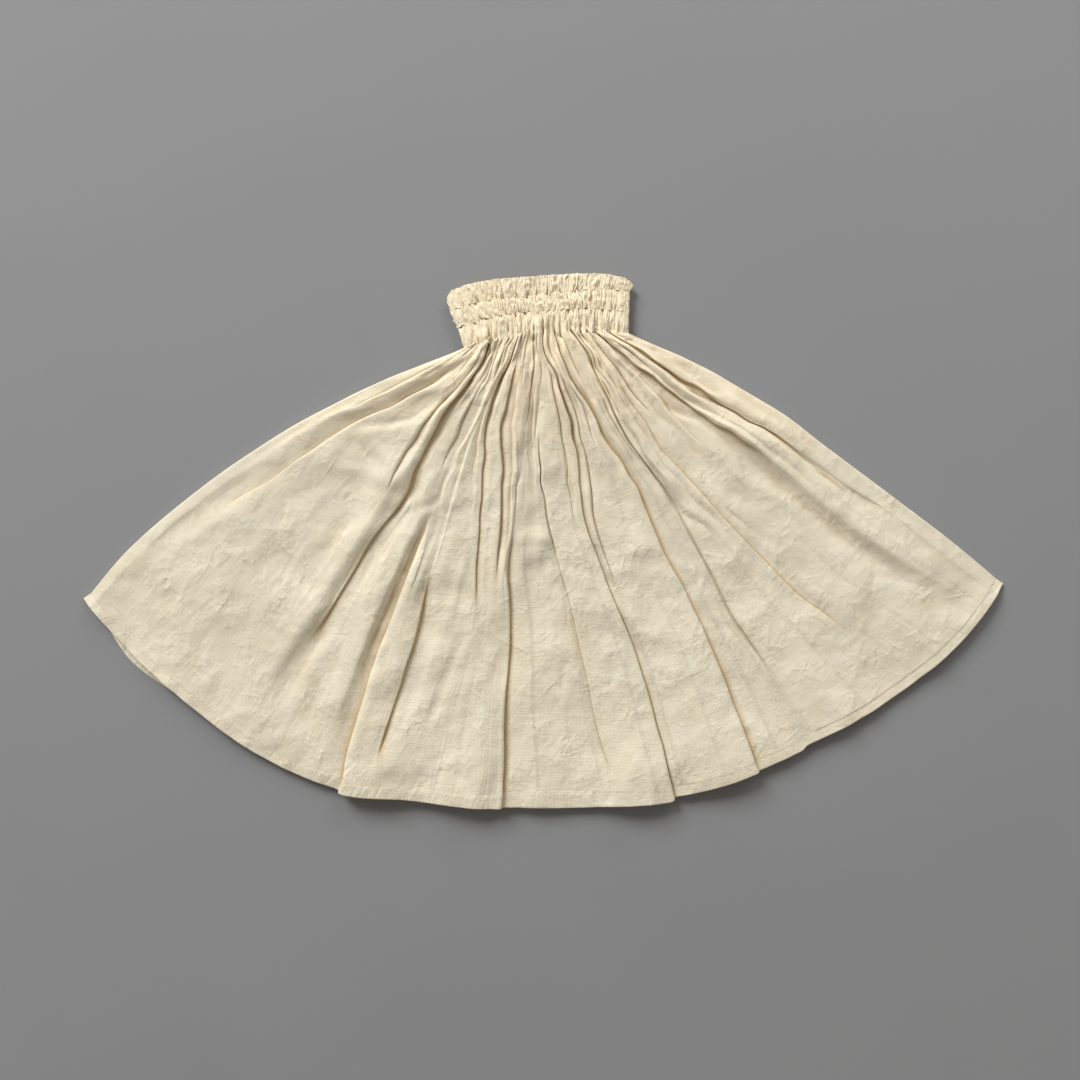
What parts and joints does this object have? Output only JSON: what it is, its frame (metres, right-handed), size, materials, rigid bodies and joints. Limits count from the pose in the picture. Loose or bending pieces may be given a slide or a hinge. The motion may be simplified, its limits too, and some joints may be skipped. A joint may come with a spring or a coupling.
{
  "type": "gathered skirt with a shirred elastic waist, laid flat",
  "caption": "Full gathered skirt in plain cream cotton with a shirred elastic waist, laid flat on the floor and fanned out; folds run from the waist to a turned-up hem.",
  "frame": {"origin": "centre of the footprint, on the floor the skirt lies on", "axes": "+X runs across the fanned skirt to its right, +Y up towards the waist, +Z away from the floor"},
  "size_m": [1.3777, 0.7984, 0.0267],
  "materials": {
    "cotton": "matt, washed plain-weave cotton, softly creased"
  },
  "bodies": {
    "root": {"front_panel": "cotton", "front_hem": "cotton", "back_panel": "cotton", "back_hem": "cotton", "front_casing_top": "cotton", "front_casing_middle": "cotton", "front_casing_bottom": "cotton", "back_casing_top": "cotton", "back_casing_middle": "cotton", "back_casing_bottom": "cotton"}
  },
  "joints": []
}
